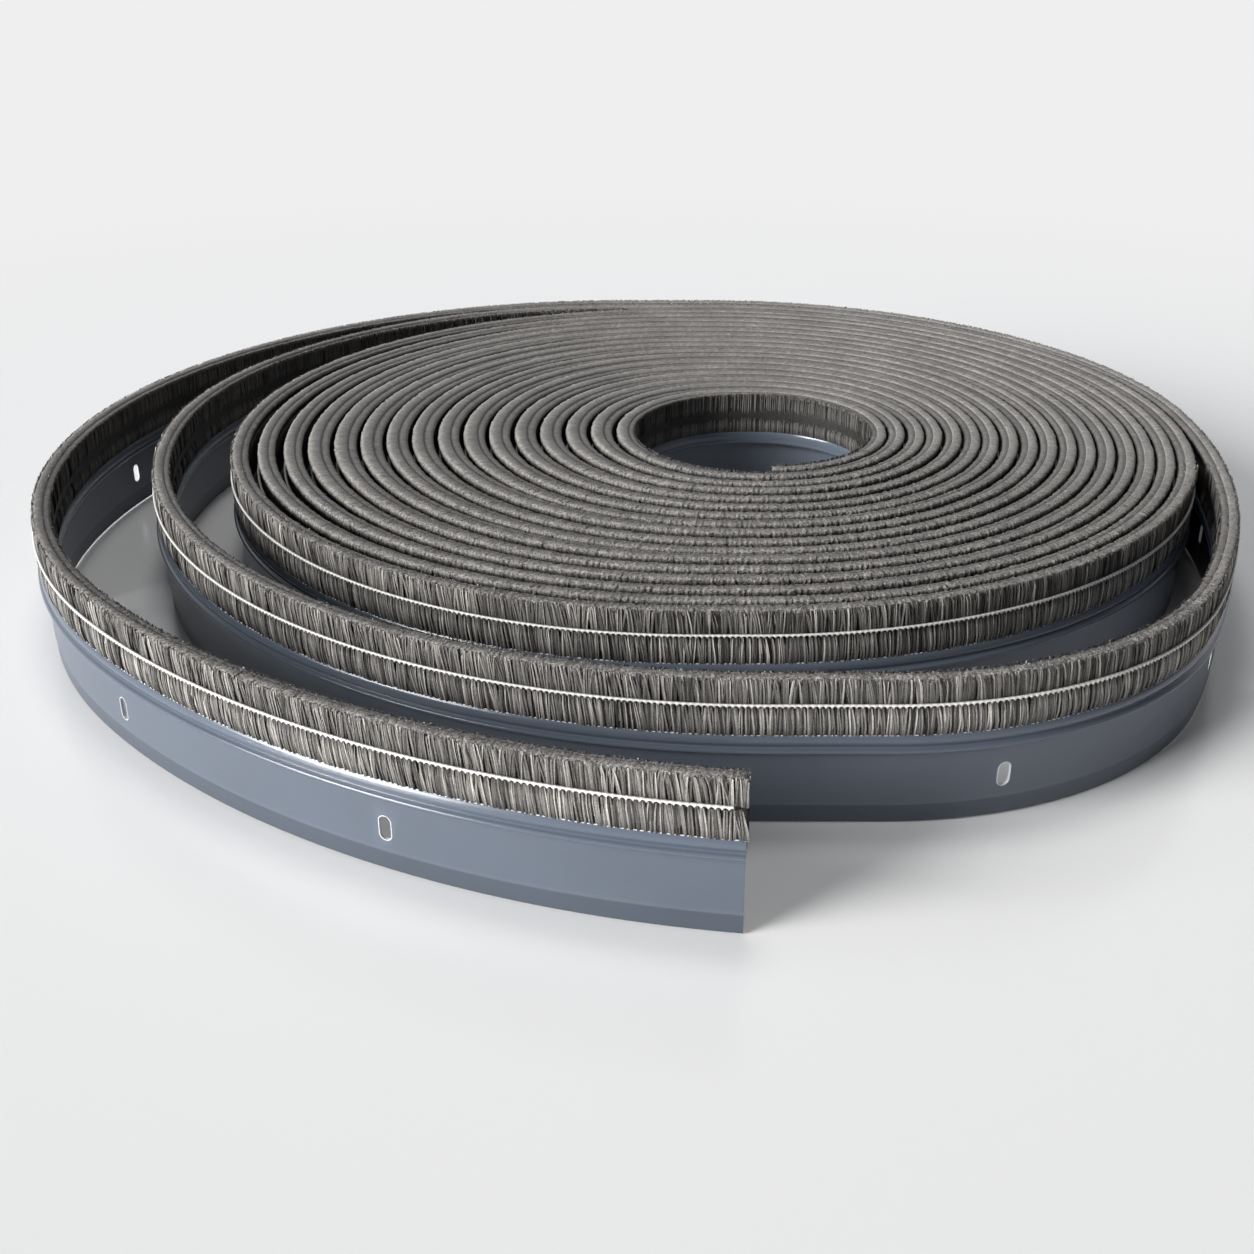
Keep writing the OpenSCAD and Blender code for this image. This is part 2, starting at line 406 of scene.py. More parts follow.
@dataclass(frozen=True)
class FlexiblePvc:
    """Extruded flexible PVC: smooth, satin, faint die lines along it, paler where it is cut."""

    colour: str = "5b636f"
    # the next two colours: painted shade on the hem, then a painted highlight along its crease
    hem_shade_colour: str = "4a525d"
    crease_highlight_colour: str = "606873"
    cut_colour: str = "b4b8be"
    # pale colour of cut faces, also used for the painted highlight dashes on the lip
    cut_and_highlight_colour: str = "dcdfe2"
    hem_top: float = 6.5
    jaw_z: float = 25.0
    lip_z: float = 31.0
    tuft_pitch: float = 1.8

    def material(self) -> bpy.types.Material:
        """Builds the extruded skin.

        Returns:
            A satin plastic with soft streaks, a hem painted darker with a painted highlight along
            its crease, and painted highlight dashes where tufts part at the lip.
        """
        material, tree, shader = new_material("extruded_flexible_pvc")
        place = add_node(tree, "ShaderNodeTexCoord")
        split = add_node(tree, "ShaderNodeSeparateXYZ", links={0: place.outputs["Object"]})
        strip = add_node(tree, "ShaderNodeUVMap", {"uv_map": "along_strip"})
        along = add_node(tree, "ShaderNodeSeparateXYZ", links={0: strip.outputs["UV"]})
        # die lines run along the strip, 0.4 mm apart across it and 120 mm long
        stretched = add_node(tree, "ShaderNodeMapping", {"Scale": (8.0, 2500.0, 1.0)},
                             {"Vector": strip.outputs["UV"]})
        lines = add_node(tree, "ShaderNodeTexNoise", {"Scale": 1.0, "Detail": 3.0},
                         {"Vector": stretched.outputs[0]})
        # handling leaves soft cloudy patches, about 40 mm across
        cloud = add_node(tree, "ShaderNodeTexNoise", {"Scale": 25.0, "Detail": 4.0},
                         {"Vector": place.outputs["Object"]})
        # painted shade and highlight: the hem is painted as a darker band, with a painted highlight
        # 1.6 mm wide along the crease at its top
        hem_shading = add_node(tree, "ShaderNodeValToRGB",
                       links={0: add_node(tree, "ShaderNodeMapRange",
                                          {"From Min": (self.hem_top - 2) * MM,
                                           "From Max": (self.hem_top + 2) * MM},
                                          {"Value": split.outputs["Z"]}).outputs[0]})
        for at, colour in ((0.35, self.hem_shade_colour), (0.5, self.crease_highlight_colour), (0.85, self.colour)):
            hem_shading.color_ramp.elements.new(at).color = hex_to_linear(colour)
        hem_shading.color_ramp.elements[0].color = hex_to_linear(self.hem_shade_colour)
        hem_shading.color_ramp.elements[-1].color = hex_to_linear(self.colour)
        patch = add_node(tree, "ShaderNodeMapRange", {"To Min": 0.88, "To Max": 1.12},
                         {"Value": cloud.outputs["Fac"]})
        tinted = add_node(tree, "ShaderNodeMix",
                          {"data_type": "RGBA", "blend_type": "MULTIPLY", 0: 1.0},
                          {6: hem_shading.outputs[0], 7: patch.outputs[0]})
        # painted highlight: light dashes are painted on the lip's upper edge between the tufts, one
        # dash for each 2 mm tuft
        beat = add_node(tree, "ShaderNodeMath",
                        {"operation": "SINE"},
                        {0: add_node(tree, "ShaderNodeMath",
                                     {"operation": "MULTIPLY",
                                      1: 2 * math.pi / (self.tuft_pitch * MM)},
                                     {0: along.outputs["X"]}).outputs[0]})
        highlight_dash = add_node(tree, "ShaderNodeMath", {"operation": "GREATER_THAN", 1: -0.2},
                        {0: beat.outputs[0]})
        high = add_node(tree, "ShaderNodeMath",
                        {"operation": "GREATER_THAN", 1: (self.lip_z - 0.2) * MM},
                        {0: split.outputs["Z"]})
        outer = add_node(tree, "ShaderNodeMath", {"operation": "GREATER_THAN", 1: 0.0},
                         {0: along.outputs["Y"]})
        edge = add_node(tree, "ShaderNodeMath", {"operation": "MULTIPLY"},
                        {0: highlight_dash.outputs[0],
                         1: add_node(tree, "ShaderNodeMath", {"operation": "MULTIPLY"},
                                     {0: high.outputs[0], 1: outer.outputs[0]}).outputs[0]})
        final = add_node(tree, "ShaderNodeMix",
                         {"data_type": "RGBA", 7: hex_to_linear(self.cut_and_highlight_colour)},
                         {0: edge.outputs[0], 6: tinted.outputs[2]})
        tree.links.new(final.outputs[2], shader.inputs["Base Color"])
        # the jaw comes out of the die glossier than the wide flange
        satin = add_node(tree, "ShaderNodeMapRange", {"To Min": 0.3, "To Max": 0.46},
                         {"Value": cloud.outputs["Fac"]})
        gloss = add_node(tree, "ShaderNodeMapRange",
                         {"From Min": (self.jaw_z - 1) * MM, "From Max": self.jaw_z * MM,
                          "To Max": 0.2}, {"Value": split.outputs["Z"], 3: satin.outputs[0]})
        tree.links.new(gloss.outputs[0], shader.inputs["Roughness"])
        bump = add_node(tree, "ShaderNodeBump", {"Strength": 0.08, "Distance": 0.0004},
                        {"Height": lines.outputs["Fac"]})
        tree.links.new(bump.outputs[0], shader.inputs["Normal"])
        shader.inputs["IOR"].default_value = 1.54
        return material

    def cut_material(self) -> bpy.types.Material:
        """The paler, matter face that a blade or a punch leaves."""
        material, tree, shader = new_material("cut_flexible_pvc")
        place = add_node(tree, "ShaderNodeTexCoord")
        # the blade drags fine lines, about 0.3 mm apart
        drag = add_node(tree, "ShaderNodeTexNoise", {"Scale": 3300.0, "Detail": 2.0},
                        {"Vector": place.outputs["Object"]})
        pale = add_node(tree, "ShaderNodeMix",
                        {"data_type": "RGBA", 6: hex_to_linear(self.cut_colour),
                         7: hex_to_linear(self.cut_and_highlight_colour)}, {0: drag.outputs["Fac"]})
        tree.links.new(pale.outputs[2], shader.inputs["Base Color"])
        shader.inputs["Roughness"].default_value = 0.6
        return material


@dataclass(frozen=True)
class NylonBristle:
    """Crimped grey nylon bristle: mixed light and dark ends, a soft shine along each one."""

    dark: str = "393735"
    middle: str = "7b7875"
    light: str = "c8c3bc"

    def material(self) -> bpy.types.Material:
        """Builds the bristle.

        Returns:
            A soft grey whose tone and painted light and shade come from each bristle's own
            attribute, with painted shade in the pits between cut ends.
        """
        material, tree, shader = new_material("grey_nylon_bristle")
        tone_and_shading = add_node(tree, "ShaderNodeAttribute", {"attribute_name": "tone_and_shading"})
        parts = add_node(tree, "ShaderNodeSeparateColor", links={0: tone_and_shading.outputs["Color"]})
        place = add_node(tree, "ShaderNodeTexCoord")
        # single ends show as specks, about 0.45 mm across
        speck = add_node(tree, "ShaderNodeTexNoise", {"Scale": 2200.0, "Detail": 2.0},
                         {"Vector": place.outputs["Object"]})
        # lots of bristle differ a little over 25 mm
        lot = add_node(tree, "ShaderNodeTexNoise", {"Scale": 40.0, "Detail": 2.0},
                       {"Vector": place.outputs["Object"]})
        mixed = add_node(tree, "ShaderNodeMath", {"operation": "MULTIPLY_ADD", 1: 0.55},
                         {0: speck.outputs["Fac"],
                          2: add_node(tree, "ShaderNodeMath",
                                      {"operation": "MULTIPLY_ADD", 1: 0.2, 2: -0.375},
                                      {0: lot.outputs["Fac"]}).outputs[0]})
        level = add_node(tree, "ShaderNodeMath", {"operation": "ADD", "use_clamp": True},
                         {0: mixed.outputs[0], 1: parts.outputs["Red"]})
        ramp = add_node(tree, "ShaderNodeValToRGB", links={0: level.outputs[0]})
        ramp.color_ramp.elements[0].color = hex_to_linear(self.dark)
        ramp.color_ramp.elements[0].position = 0.12
        ramp.color_ramp.elements[1].color = hex_to_linear(self.light)
        ramp.color_ramp.elements[1].position = 0.95
        ramp.color_ramp.elements.new(0.5).color = hex_to_linear(self.middle)
        # painted shade: cut ends stand as light dots, 0.6 mm apart, with shade painted in the pits
        # between them, weighted by the attribute's blue channel
        dots = add_node(tree, "ShaderNodeTexVoronoi", {"Scale": 1650.0},
                        {"Vector": place.outputs["Object"]})
        painted_pit_shade = add_node(tree, "ShaderNodeMapRange",
                        {"From Min": 0.35, "From Max": 0.85, "To Min": 0.0, "To Max": 0.75},
                        {"Value": dots.outputs["Distance"]})
        depth = add_node(tree, "ShaderNodeMath", {"operation": "MULTIPLY"},
                         {0: painted_pit_shade.outputs[0], 1: parts.outputs["Blue"]})
        left = add_node(tree, "ShaderNodeMath", {"operation": "SUBTRACT", 0: 1.0},
                        {1: depth.outputs[0]})
        # painted light and shade: the attribute's green channel lightens or darkens the colour
        painted_shading = add_node(tree, "ShaderNodeMath", {"operation": "MULTIPLY"},
                         {0: left.outputs[0], 1: parts.outputs["Green"]})
        painted_shaded_colour = add_node(tree, "ShaderNodeMix",
                        {"data_type": "RGBA", "blend_type": "MULTIPLY", 0: 1.0},
                        {6: ramp.outputs[0], 7: painted_shading.outputs[0]})
        tree.links.new(painted_shaded_colour.outputs[2], shader.inputs["Base Color"])
        shader.inputs["Roughness"].default_value = 0.5
        shader.inputs["Specular IOR Level"].default_value = 0.2
        bump = add_node(tree, "ShaderNodeBump", {"Strength": 0.5, "Distance": 0.0003},
                        {"Height": speck.outputs["Fac"]})
        tree.links.new(bump.outputs[0], shader.inputs["Normal"])
        return material


@dataclass(frozen=True)
class PolyesterCord:
    """Flat white polyester binding: bright, matt, a little translucent at its edge."""

    colour: str = "efedea"
    painted_shading: str = "cfccc7"

    def material(self) -> bpy.types.Material:
        """Builds the binding.

        Returns:
            A near-white matt plastic with a fine weave's shading.
        """
        material, tree, shader = new_material("white_polyester_binding")
        strip = add_node(tree, "ShaderNodeUVMap", {"uv_map": "along_strip"})
        # stitches every 1 mm along the strip
        wave = add_node(tree, "ShaderNodeTexWave", {"Scale": 160.0, "Distortion": 1.5},
                        {"Vector": strip.outputs["UV"]})
        painted_shading = add_node(tree, "ShaderNodeMix",
                         {"data_type": "RGBA", 6: hex_to_linear(self.painted_shading),
                          7: hex_to_linear(self.colour)}, {0: wave.outputs["Fac"]})
        tree.links.new(painted_shading.outputs[2], shader.inputs["Base Color"])
        shader.inputs["Roughness"].default_value = 0.45
        return material


@dataclass
class Carrier:
    """The extruded flange and jaw, swept along the coil, with its fixing slots."""

    path: CoilPath
    finish: FlexiblePvc = FlexiblePvc()
    flange_out: float = 2.3
    flange_t: float = 1.0
    hem_h: float = 6.5
    hem_in: float = 0.3
    jaw_z: float = 25.0
    lip_z: float = 31.0
    half_jaw: float = 3.6
    jaw_t: float = 0.8
    bead_r: float = 0.8
    bead_out: float = 4.4
    fine_step: float = 6.5
    coarse_step: float = 13.0
    shown_gap: float = 3.4
    slot_w: float = 4.0
    slot_h: float = 8.0
    slot_z: float = 14.3
    slot_pitch: float = 118.0
    slot_first: float = 105.0
    slot_count: int = 12
    rim_w: float = 0.3
    rim_h: float = 0.07
    rim_points: int = 28

    def section(self) -> list[tuple[float, float]]:
        """The carrier's rounded section, outwards and up in mm, seen clockwise from the foot."""
        flange_in = self.flange_out - self.flange_t
        bead_c = (self.bead_out - self.bead_r, self.jaw_z + self.bead_r)
        out, top = self.half_jaw, self.lip_z
        outer = [
            (flange_in + 0.1, 0.0), (self.flange_out - self.hem_in - 0.1, 0.0),
            (self.flange_out - self.hem_in, 0.15), (self.flange_out - 0.12, self.hem_h - 0.4),
            (self.flange_out, self.hem_h), (self.flange_out, self.jaw_z - 0.7),
            (self.flange_out + 0.25, self.jaw_z - 0.12), (self.flange_out + 0.8, self.jaw_z),
            *bend(bead_c, self.bead_r, -90, 100, 8),
            (3.15, self.jaw_z + 1.75), (2.95, self.jaw_z + 2.0), (2.98, self.jaw_z + 2.3),
            (3.2, self.jaw_z + 2.7), (out - 0.12, self.jaw_z + 3.25),
            (out + 0.03, self.jaw_z + 3.8), (out, self.jaw_z + 4.35),
            (out - 0.14, self.jaw_z + 4.9), (out - 0.38, self.jaw_z + 5.4),
            (out - 0.66, self.jaw_z + 5.8), (out - 0.82, top - 0.05), (out - 0.95, top),
        ]
        throat = [
            (out - 1.15, top - 0.15), (out - 1.2, top - 1.2), (out - 1.0, 28.4),
            (2.35, 27.2), (2.2, 26.0), (1.9, 25.8), (-2.4, 25.8), (-2.75, 26.1),
            (-out + self.jaw_t, 28.0), (-out + self.jaw_t, top - 0.2),
        ]
        inner = [
            (-out + 0.65, top), (-out + 0.4, top - 0.05), (-out + 0.15, top - 0.5),
            (-out, top - 1.6), (-out + 0.04, top - 2.8), (-out + 0.3, top - 3.5),
            (-out + 0.32, top - 3.9), (-out + 0.12, top - 4.4), (-out + 0.2, top - 5.0),
            (-out + 0.55, top - 5.6), (-out + 1.1, self.jaw_z + 0.02),
            (flange_in - 0.7, self.jaw_z), (flange_in - 0.15, self.jaw_z - 0.25),
            (flange_in, self.jaw_z - 0.9), (flange_in, self.hem_h), (flange_in, 0.1),
        ]
        return outer + throat + inner

    def build(self) -> bpy.types.Object:
        """Sweeps the section, punches the slots and dresses the piece.

        Returns:
            The carrier.
        """
        section = np.array(self.section())
        stations = self.path.stations(self.fine_step, self.coarse_step, self.shown_gap)
        verts = self.path.points(stations[:, None], section[None, :, 0], section[None, :, 1])
        around = np.cumsum(np.hypot(*np.diff(section, axis=0, prepend=section[:1]).T))
        outside = np.sign(section[:, 0] - 1.4) * np.maximum(around, 0.1)
        uv = np.stack(np.broadcast_arrays(stations[:, None], outside[None, :]), axis=-1) * MM
        count, rings = len(section), len(stations)
        caps = [list(range(count))[::-1], [(rings - 1) * count + k for k in range(count)]]
        carrier = mesh_object("carrier_extrusion", verts.reshape(-1, 3),
                              loop_quads(rings, count, True), uv.reshape(-1, 2), caps=caps)
        carrier.data.materials.append(self.finish.material())
        carrier.data.materials.append(self.finish.cut_material())
        cut_faces = [p for p in carrier.data.polygons if p.loop_total == count]
        for face in cut_faces:
            face.material_index = 1
        face_outwards(carrier)
        self._punch(carrier)
        only(carrier)
        bpy.ops.object.shade_smooth_by_angle(angle=math.radians(38))
        settle(carrier, "plastic", "carrier")
        return carrier

    def _punch(self, carrier: bpy.types.Object) -> None:
        """Punches the fixing slots with one joined set of upright obround cutters.

        Args:
            carrier: The swept extrusion.
        """
        cutters, rims = [], []
        for k in range(self.slot_count):
            spot, turned = self.path.from_free_end(self.slot_first + k * self.slot_pitch)
            out = Vector((math.cos(turned), math.sin(turned), 0.0))
            centre = spot + out * (self.flange_out - self.flange_t / 2) * MM
            cutters.append(self._cutter(centre, turned))
            rims += self._rims(spot, out)
        bpy.ops.object.select_all(action="DESELECT")
        for cutter in cutters:
            cutter.select_set(True)
        bpy.context.view_layer.objects.active = cutters[0]
        bpy.ops.object.join()
        punch = bpy.context.view_layer.objects.active
        only(carrier)
        cut = carrier.modifiers.new("slots", "BOOLEAN")
        cut.operation = "DIFFERENCE"
        cut.solver = "EXACT"
        cut.material_mode = "TRANSFER"
        cut.object = punch
        bpy.ops.object.modifier_apply(modifier=cut.name)
        bpy.data.objects.remove(punch, do_unlink=True)
        self._burrs(np.array(rims))

    def _rims(self, spot: Vector, out: Vector) -> list[np.ndarray]:
        """The rings of a slot's two rims, each standing a little proud of the flange.

        Args:
            spot: The middle line's point at the slot, in metres.
            out: The outward direction there.

        Returns:
            Two rims of three rings each, every ring an array of points.
        """
        turned = np.radians(np.arange(0, 360, 360 / self.rim_points))
        straight = (self.slot_h - self.slot_w) / 2
        along = np.array((-out.y, out.x, 0.0))
        rims = []
        for face, way in ((self.flange_out, 1), (self.flange_out - self.flange_t, -1)):
            rings = []
            for r, proud in ((self.slot_w / 2 + self.rim_w, -0.02),
                             (self.slot_w / 2 + self.rim_w / 2, self.rim_h),
                             (self.slot_w / 2 - 0.03, -0.02)):
                side, up = r * np.cos(turned), r * np.sin(turned)
                up = self.slot_z + up + np.sign(np.round(up, 6)) * straight
                base = np.array(spot) + np.array(out) * (face + way * proud) * MM
                rings.append(base + side[:, None] * along * MM + up[:, None] * np.array((0, 0, MM)))
            rims.append(np.array(rings if way > 0 else rings[::-1]))
        return rims

    def _burrs(self, rims: np.ndarray) -> bpy.types.Object:
        """Makes the pale rims that the punch raises round the slots.

        Args:
            rims: Rim by ring by point by 3, in metres.

        Returns:
            The rims, one piece.
        """
        count, rings, around, _ = rims.shape
        quads = loop_quads(rings, around, True)
        every = np.concatenate([quads + k * rings * around for k in range(count)])
        burrs = mesh_object("slot_rims", rims.reshape(-1, 3), every)
        burrs.data.materials.append(self.finish.cut_material())
        only(burrs)
        bpy.ops.object.shade_smooth()
        settle(burrs, "plastic", "carrier")
        return burrs

    def _cutter(self, centre: Vector, turned: float) -> bpy.types.Object:
        """One obround cutter through the flange.

        Args:
            centre: Middle of the flange's wall at the slot, in metres, on the floor.
            turned: The outward direction there, in radians.

        Returns:
            The cutter, an object of its own.
        """
        bpy.ops.object.select_all(action="DESELECT")
        bpy.ops.mesh.primitive_cylinder_add(vertices=28, radius=self.slot_w / 2 * MM,
                                            depth=self.flange_t * 2 * MM)
        cutter = bpy.context.view_layer.objects.active
        stretch = (self.slot_h - self.slot_w) / 2 * MM
        for vert in cutter.data.vertices:
            vert.co.y += math.copysign(stretch, vert.co.y)
        cutter.rotation_euler = (math.radians(90), 0.0, turned + math.radians(90))
        cutter.location = centre + Vector((0, 0, self.slot_z * MM))
        bpy.ops.object.transform_apply(location=True, rotation=True, scale=True)
        cutter.data.materials.append(self.finish.cut_material())
        return cutter


@dataclass
class BristlePile:
    """The bristles: a core painted dark with shade, a rough crown over every turn, and single
    bristles in view.
    """

    path: CoilPath
    finish: NylonBristle = NylonBristle()
    half: float = 3.8
    upper_out: float = 2.9
    root_z: float = 25.8
    lip_z: float = 31.0
    cord_z: float = 41.0
    top_z: float = 50.0
    end_void: float = 5.0
    crown_end: float = 1.0
    core_step: float = 8.0
    crown_step: float = 0.385
    crown_low: float = 45.8
    tuft: float = 1.8
    shown_gap: float = 3.4

    def __post_init__(self) -> None:
        """Makes the material and the random numbers that all the bristles share."""
        self.rng = np.random.default_rng(SEED)
        self.material = self.finish.material()

    def splay(self, s: np.ndarray, side: Side) -> np.ndarray:
        """How far the tips spread past the pile's width, until they meet the next turn.

        Args:
            s: Distances along the path.
            side: Which face of the pile.

        Returns:
            Spreads in mm.
        """
        gap = self.path.value(self.path.gap_out if side is Side.OUTER else self.path.gap_in, s)
        turn = self.path.value(self.path.theta, s) / (2 * math.pi)
        loosely = np.clip((turn - 12.6) / 1.4, 0, 1) * (gap < 4)
        room = np.interp(gap, [0.4, 3.2, 4.5, 12], [0, 1.35, 0.8, 0.2])
        return (room - 0.12 * (1 + self.sway(s, 3)) * (room > 0.3)) * (1 - 0.85 * loosely)

    def sway(self, s: np.ndarray, which: int) -> np.ndarray:
        """Slow unevenness along the strip.

        Args:
            s: Distances along the path.
            which: Picks one of several unlike wanderings.

        Returns:
            Values from -1 to 1 that change over 20 to 150 mm.
        """
        shift = 1.7 * which
        long = np.sin(s / (149.0 - 9 * which) + shift)
        middle = np.sin(s / (61.0 + 5 * which) + 2.3 * shift)
        short = np.sin(s / (23.7 + 2 * which) + 0.7 * shift)
        return (0.9 * long + 1.1 * middle + 0.7 * short) / 2.7

    def clear(self, s: np.ndarray, side: Side) -> np.ndarray:
        """How far a side stands clear of its neighbour, from 0, touching, to 1, in full view."""
        gap = self.path.value(self.path.gap_out if side is Side.OUTER else self.path.gap_in, s)
        return np.clip((gap - self.shown_gap + 0.4) / 0.8, 0, 1)

    def core(self) -> bpy.types.Object:
        """Builds the body of the pile that shows between the bristles, painted dark as the shade
        deep in the pile.

        Returns:
            The core.
        """
        stop = self.path.length - self.end_void
        stations = np.linspace(0.4, stop, int(stop / self.core_step) + 1)
        out, back = self.splay(stations, Side.OUTER), self.splay(stations, Side.INNER)
        zero = np.zeros_like(stations)
        top = self.crown_low + 0.4
        heights = [(2.1 + zero, self.root_z), (2.3 + zero, self.lip_z - 0.4),
                   (self.half - 1.0 + zero, self.lip_z + 1.8),
                   (self.half - 1.0 + zero, self.cord_z - 2.0),
                   (self.half - 1.9 + zero, self.cord_z - 0.2),
                   (self.upper_out - 0.9 + out * 0.3, self.cord_z + 1.2),
                   (self.upper_out - 0.6 + out * 0.5, top),
                   (-self.half + 0.7 - back * 0.5, top),
                   (-self.half + 0.5 - back * 0.3, self.cord_z),
                   (-self.half + 0.8 + zero, self.lip_z + 1.2),
                   (-2.4 + zero, self.lip_z - 0.4), (-2.3 + zero, self.root_z)]
        across = np.stack([h[0] for h in heights], axis=1)
        up = np.array([h[1] for h in heights])
        verts = self.path.points(stations[:, None], across, up[None, :])
        rings, count = across.shape
        # painted shade: a low tone and a shade factor of 0.4 darken the core like the shadow deep
        # between the bristles
        tone_and_shading = np.zeros((rings, count, 4))
        tone_and_shading[..., 0] = 0.22
        tone_and_shading[..., 1] = 0.4
        tone_and_shading[..., 3] = 1.0
        caps = [list(range(count))[::-1], [(rings - 1) * count + k for k in range(count)]]
        core = mesh_object("bristle_core", verts.reshape(-1, 3), loop_quads(rings, count, True),
                           tone_and_shading=tone_and_shading.reshape(-1, 4), caps=caps)
        core.data.materials.append(self.material)
        face_outwards(core)
        settle(core, "bristle", "bristle_pile")
        return core

    def crowns(self, parts: int = 4) -> None:
        """Builds the rough cut tops of every turn, in joined lengths.

        Args:
            parts: How many objects the crown is shared over.
        """
        stop = self.path.length - self.crown_end
        fine = np.linspace(0.2, stop, int(stop / self.crown_step) + 1)
        front = self.path.value(self.path.ny, fine) < -0.5
        number = np.arange(len(fine))
        stations = fine[(number % 3 == 0) | (front & (number % 2 == 0)) | (number == number[-1])]
        bounds = np.linspace(0, len(stations) - 1, parts + 1).astype(int)
        for k in range(parts):
            self._crown(f"bristle_crown_{k + 1}", stations[bounds[k]:bounds[k + 1] + 1])

    def _crown(self, name: str, stations: np.ndarray) -> None:
        """Builds one closed length of the crown: a higher outer band and a lower inner one, with
        painted light and shade across them.

        Args:
            name: The object's name.
            stations: Distances along the path.
        """
        s, top = stations, self.top_z
        shy_out, shy_in = self.clear(s, Side.OUTER), self.clear(s, Side.INNER)
        drift = 0.22 * self.sway(s, 1) * (1 - shy_out)
        edge = self.upper_out + self.splay(s, Side.OUTER) + drift - 0.5 * shy_out
        rear = -self.half - self.splay(s, Side.INNER) + drift + 0.35 * shy_in
        part = 0.44 + 0.07 * self.sway(s, 2)
        parting = edge * part + rear * (1 - part)
        sunk = 0.42 * (1 + self.sway(s, 4)) * (1 - 0.6 * shy_out)
        drop = sunk + 0.75 + 0.3 * self.sway(s, 5)
        # each row: across, height, a painted tone shift and a painted shading factor; the raised
        # outer edge is painted lighter, the sides and the step down to the inner band darker
        rows = [(edge - 0.3, self.crown_low + 0 * s, -0.4, 0.35),
                (edge, top - sunk - 1.5, -0.12, 0.7),
                (edge - 0.15, top - sunk - 0.6, 0.05, 0.95),
                (edge - 0.6, top - sunk - 0.14, 0.14, 1.0),
                (edge * 0.6 + parting * 0.4, top - sunk, 0.06, 1.0),
                (parting + 0.5, top - sunk - 0.12, 0.04, 0.98),
                (parting + 0.05, top - sunk - 0.45, 0.12, 0.95),
                (parting - 0.15, top - drop - 0.25, -0.16, 0.62),
                (parting * 0.72 + rear * 0.28, top - drop + 0.05, -0.02, 0.88),
                (parting * 0.3 + rear * 0.7, top - drop - 0.05, 0.0, 0.9),
                (rear + 0.15, top - drop - 0.55, -0.05, 0.8),
                (rear + 0.05, top - drop - 1.5, -0.2, 0.5),
                (rear + 0.4, self.crown_low + 0 * s, -0.4, 0.3)]
        n, m = len(s), len(rows)
        across = np.stack([r[0] for r in rows], axis=1)
        up = np.stack([r[1] for r in rows], axis=1)
        wobble = self.rng.normal(0, 1, (n, m))
        beat = np.cos(s * 2 * math.pi / self.tuft + 2.0 * np.sin(s / 37.0))
        beat = 0.8 * beat + self.rng.normal(0, 0.35, n)
        front = np.clip(-self.path.value(self.path.ny, s) * 1.6 - 0.1, 0.25, 1)
        reach = np.array([1, 1, 0.9, 0.5, 0.1, 0.3, 0.6, 0.5, 0.1, 0, -0.5, -1, -1])
        rough = 0.07 + 0.1 * front[:, None]
        across += reach[None, :] * rough * (0.9 * beat[:, None] + wobble)
        lift = np.array([0, 0.5, 1, 1, 0.8, 0.8, 1, 1, 0.8, 0.8, 1, 0.5, 0])
        up += lift[None, :] * rough * (0.9 * wobble + 0.5 * beat[:, None])
        lean = self.rng.normal(0, 0.16, (n, m))
        verts = self.path.points(s[:, None] + lean, across, np.minimum(up, top))
        # tone rises towards the front; painted light makes the tuft crests there lighter and painted
        # shade the tuft dips darker, besides each row's painted shift and shading
        tone_and_shading = np.ones((n, m, 4))
        tone_and_shading[..., 0] = 0.42 + 0.06 * front[:, None] + 0.05 * wobble
        tone_and_shading[..., 0] += 0.035 * beat[:, None] * front[:, None]
        tone_and_shading[..., 0] += np.array([r[2] for r in rows])[None, :]
        painted_pit_shade = np.array([0, 1, 1, 0.3, 0, 0.2, 0.6, 1, 0.3, 0, 0.5, 1, 0])
        tone_and_shading[..., 1] = np.array([r[3] for r in rows])[None, :]
        tone_and_shading[..., 1] *= 1 - 0.4 * painted_pit_shade * (front * np.clip(-beat, 0, 1))[:, None]
        tone_and_shading[..., 2] = front[:, None]
        caps = [list(range(m))[::-1], [(n - 1) * m + k for k in range(m)]]
        crown = mesh_object(name, verts.reshape(-1, 3), loop_quads(n, m, True),
                            tone_and_shading=tone_and_shading.reshape(-1, 4), caps=caps)
        crown.data.materials.append(self.material)
        face_outwards(crown)
        only(crown)
        bpy.ops.object.shade_smooth()
        settle(crown, "bristle", "bristle_pile")

    def shown(self, side: Side, low: float = 0.0) -> np.ndarray:
        """Distances along the path, in 1 mm steps, where a face stands clear of its neighbour.

        Args:
            side: Which face of the pile.
            low: The first distance that counts.

        Returns:
            The distances.
        """
        s = np.arange(low, self.path.length, 1.0)
        gap = self.path.value(self.path.gap_out if side is Side.OUTER else self.path.gap_in, s)
        return s[gap > self.shown_gap]

